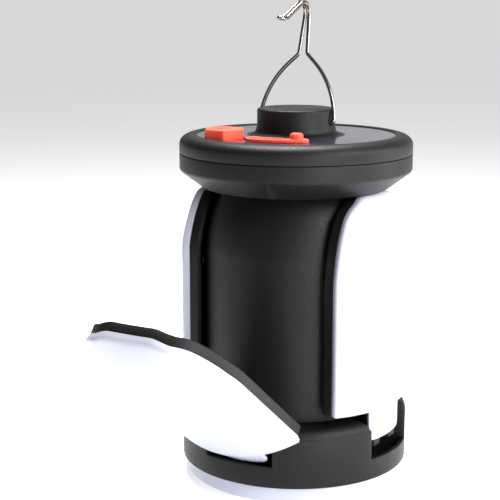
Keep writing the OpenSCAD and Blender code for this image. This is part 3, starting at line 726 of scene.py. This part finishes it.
verts = hexagon(HEX_R, RECESS - 0.8) + hexagon(HEX_R, FACE)
faces = [tuple(range(5, -1, -1)), tuple(range(6, 12))]
faces += [(i, (i + 1) % 6, (i + 1) % 6 + 6, i + 6) for i in range(6)]
button = mesh_object("button", verts, faces, ORANGE, smooth=False)
round_edges(button, 0.9, 4, 30)


def flat_ring(name, cx, cy, r0, r1, z, a0, a1, mat, lift=0.18, n=40):
    verts, faces = [], []
    for i in range(n + 1):
        a = rad(a0 + (a1 - a0) * i / n)
        for r, dz in ((r0, -0.3), (r0 + 0.15, lift), (r1 - 0.15, lift), (r1, -0.3)):
            verts.append((cx + r * sin(a), cy + r * cos(a), z + dz))
    for i in range(n):
        for j in range(3):
            faces.append((i * 4 + j, i * 4 + j + 1, i * 4 + j + 5, i * 4 + j + 4))
    return mesh_object(name, verts, faces, mat, angle=60)


mark = flat_ring("mark", BX, BY, 2.9, 3.8, FACE, 28, 332, ORANGE)
BOX_FACES = [(3, 2, 1, 0), (4, 5, 6, 7), (0, 1, 5, 4), (1, 2, 6, 5), (2, 3, 7, 6), (3, 0, 4, 7)]
bar_plan = ((-0.45, 1.6), (0.45, 1.6), (0.45, 5), (-0.45, 5))
bar_v = [(BX + x, BY + y, FACE + z) for z in (-0.3, 0.18) for x, y in bar_plan]
bar = mesh_object("bar", bar_v, BOX_FACES, ORANGE, smooth=False)
finish(joined("power_button_skin", [button, mark, bar]), "button", "orange_silicone", "power_button")

# ------------------------------------------------------------------ port strap
R0, R1, A0, A1, Z0 = 34.0, 42.0, -8.0, 39.0, COVER + 0.15


def strap_place(s, z, depth):
    """s runs round the strap, z is the radius and depth is measured down from the top."""
    a = rad(s / 38 * 180 / pi)
    return (z * sin(a), -z * cos(a), Z0 + 1.5 - depth)


k = 38 * pi / 180
strap = plate("strap", fillet([((A0 + 1.6) * k, R0), (A1 * k, R0), (A1 * k, R1), ((A0 + 1.6) * k, R1)],
                              [0.3, 3.4, 3.4, 0.3], 8), strap_place, arc_steps(0.6, 5), [(0, 1.5), (0.5, 1.5)],
              ORANGE, n=160)
parts = [strap]
rib_plan = ((-0.38, 35.6), (0.38, 35.6), (0.38, 40.4), (-0.38, 40.4))
for i in range(12):
    a = rad(A0 + 4.5 + i * 2.05)
    m = Matrix.Rotation(a, 4, "Z")
    box = []
    for dz in (0, 0.6):
        box += [m @ Vector((x, -y, Z0 + 1.3 + dz)) for x, y in rib_plan]
    rib = mesh_object("rib", [tuple(v) for v in box], BOX_FACES, ORANGE, smooth=False)
    round_edges(rib, 0.22, 2)
    parts.append(rib)
NX, NY = 38 * sin(rad(30)), -38 * cos(rad(30))
nub = [(0.05, Z0 + 1.2), (3.3, Z0 + 1.2)]
nub += [(3.3 - 1.5 + 1.5 * cos(rad(a)), Z0 + 4.55 - 1.5 + 1.5 * sin(rad(a))) for a in range(0, 91, 10)]
nub += [(0.05, Z0 + 4.55)]
knob = lathe("knob", nub, ORANGE, 48)
knob.data.transform(Matrix.Translation((NX * MM, NY * MM, 0)))
parts.append(knob)
pin = lathe("pin", fillet([(0.02, 0), (0.9, 0), (0.9, 8), (0.02, 8)], [0, 0.25, 0.25, 0], 3), ORANGE, 24)
pin.data.transform(Matrix.Rotation(rad(A0), 4, "Z") @ Matrix.Translation((0.9 * MM, -R1 * MM, (Z0 + 0.9) * MM))
                   @ Matrix.Rotation(rad(-90), 4, "X"))
parts.append(pin)
finish(joined("port_strap_skin", parts), "cover", "orange_silicone", "port_cover")

# ------------------------------------------------------------------ hook
WR, TWIN, CROOK_R, CROOK_DEG, TIP, CURL_R, CURL_DEG = 1.05, 1.25, 5.6, 127.0, 15.9, 6.0, 42.0


def along(a):
    return Vector((-sin(rad(a)), 0, cos(rad(a))))


def out(a):
    return Vector((cos(rad(a)), 0, sin(rad(a))))


def over(b):
    return Vector((0, -sin(rad(b)), cos(rad(b))))


def rise(b):
    return Vector((0, cos(rad(b)), sin(rad(b))))


def span(a, b, n):
    return [a + (b - a) * i / n for i in range(n + 1)]


elbow = Vector((BOSS_R + 1.65 - 1.8, 0, 1.8))
bow = elbow + (1.8 - 43) * out(5)
neck = bow + (43 + 3.5) * out(48) + 5.6 * along(48)
p_neck = neck - 3.5 * out(3.4)
ease_x = TWIN + 15 * (1 - cos(rad(3.4)))
ease = p_neck + (p_neck.x - ease_x) / sin(rad(3.4)) * along(3.4) + 15 * out(3.4)
crook = Vector((TWIN, -CROOK_R, ease.z + 0.7))
curl = crook + (CROOK_R + CURL_R) * rise(CROOK_DEG) + TIP * over(CROOK_DEG)
END = CROOK_DEG - CURL_DEG
tip = curl - CURL_R * rise(END) - Vector((TWIN, 0, 0))
Y = Vector((0, 1, 0))
right = [(Vector((BOSS_R - 2.6, 0, 0)), along(-90), Y)]
right += [(elbow + 1.8 * out(a), along(a), Y) for a in span(-90, 5, 10)]
right += [(bow + 43 * out(a), along(a), Y) for a in span(7, 48, 24)]
right += [(neck - 3.5 * out(a), along(a), Y) for a in span(48, 3.4, 10)]
right += [(ease - 15 * out(a), along(a), Y) for a in (3.4, 1.7, 0)]
right += [(crook + CROOK_R * rise(b), over(b), rise(b)) for b in span(0, CROOK_DEG, 28)]
right += [(curl - CURL_R * rise(b), over(b), rise(b)) for b in span(CROOK_DEG, END, 10)]
bend = [(tip + TWIN * (Vector((cos(rad(c)), 0, 0)) + sin(rad(c)) * over(END)),
         cos(rad(c)) * over(END) - Vector((sin(rad(c)), 0, 0)), rise(END)) for c in span(20, 160, 10)]
left = [(Vector((-p.x, p.y, p.z)), Vector((t.x, -t.y, -t.z)), u) for p, t, u in reversed(right)]
verts, faces, SIDES = [], [], 20
stations = right + bend + left
for p, t, u in stations:
    w = t.cross(u)
    for j in range(SIDES):
        a = 2 * pi * j / SIDES
        verts.append(tuple(p + WR * (cos(a) * u + sin(a) * w)))
for i in range(len(stations) - 1):
    for j in range(SIDES):
        a, b = i * SIDES + j, i * SIDES + (j + 1) % SIDES
        faces.append((a, a + SIDES, b + SIDES, b))
faces.append(tuple(range(SIDES)))
faces.append(tuple(range((len(stations) - 1) * SIDES, len(stations) * SIDES)))
hook = mesh_object("hook_skin", verts, faces, WIRE, angle=60)
hook.data.transform(Matrix.Translation((0, 0, PIVOT * MM)) @ Matrix.Rotation(rad(-11.5), 4, "X"))
finish(hook, "hook", "hook_chrome", "hanging_hook")

# ------------------------------------------------------------------ floor, light and camera
floor_m, ft, fb = material("floor", Roughness=0.8, Specular_IOR_Level=0.2)
fnoise = noise(ft, 3, 2, 0.5)
ft.links.new(ramp(ft, fnoise, [(0.3, grey(0.88)), (0.7, grey(0.90))]), fb.inputs["Base Color"])
fb.inputs["Emission Color"].default_value = (1, 1, 1, 1)
fb.inputs["Emission Strength"].default_value = 0.5
floor = mesh_object("floor", [(-9e4, -9e4, -0.2), (9e4, -9e4, -0.2), (9e4, 9e4, -0.2), (-9e4, 9e4, -0.2)],
                    [(0, 1, 2, 3)], floor_m, smooth=False)

bpy.context.scene.view_settings.view_transform = "Standard"
world = bpy.data.worlds.new("studio")
bpy.context.scene.world = world
world.use_nodes = True
wt = world.node_tree
sky = node(wt, "ShaderNodeTexCoord").outputs["Generated"]
up = node(wt, "ShaderNodeSeparateXYZ", links=[("Vector", sky)])
CAM_AZ = 29.5
ca, sa = cos(rad(CAM_AZ)), sin(rad(CAM_AZ))
# the room is light low down and on the right, and dark on the left
height = ramp(wt, up.outputs[2], [(0.0, grey(1)), (0.06, grey(1)), (0.30, grey(0.30))])
across = math_node(wt, "ADD", math_node(wt, "MULTIPLY", up.outputs[0], ca / 2),
                   math_node(wt, "MULTIPLY", up.outputs[1], sa / 2))
across = ramp(wt, math_node(wt, "ADD", across, 0.5), [(0.0, grey(0.12)), (0.45, grey(0.5)), (0.75, grey(1))])
wt.links.new(math_node(wt, "MULTIPLY", height, across), wt.nodes["Background"].inputs["Color"])


def from_camera(x, y, z):
    """A point given right, away and up as the camera stands, in mm, in the lantern's frame."""
    return Vector((ca * x - sa * y, sa * x + ca * y, z)) * MM


def lamp(name, place, target, size, power, color=(1, 1, 1)):
    data = bpy.data.lights.new(name, "AREA")
    data.shape = "RECTANGLE"
    data.size, data.size_y = size
    data.energy = power
    data.color = color
    o = bpy.data.objects.new(name, data)
    o.location = place
    o.rotation_euler = (target - place).to_track_quat("-Z", "Y").to_euler()
    bpy.context.scene.collection.objects.link(o)
    return o


middle = from_camera(0, 0, 110)
lamp("key", from_camera(620, -480, 560), middle, (0.45, 0.6), 7.5)
lamp("low", from_camera(380, -740, 140), middle, (0.22, 0.5), 3.2)
lamp("side", from_camera(900, 60, 260), middle, (0.4, 0.7), 4.5)
lamp("top", from_camera(-60, 260, 900), from_camera(0, 0, 170), (0.35, 0.3), 13)

cam = bpy.data.cameras.new("camera")
cam.sensor_width = 36
cam.lens = 1291.936 / 500 * 36
cam.clip_start = 0.01
camera = bpy.data.objects.new("camera", cam)
bpy.context.scene.collection.objects.link(camera)
pitch, yaw = rad(11.352), rad(2.04)
place = from_camera(0, -663.844, 242.338 + LENS_H)
forward = from_camera(-sin(yaw) * cos(pitch), cos(yaw) * cos(pitch), -sin(pitch)).normalized()
camera.location = place
camera.rotation_euler = forward.to_track_quat("-Z", "Y").to_euler()
bpy.context.scene.camera = camera
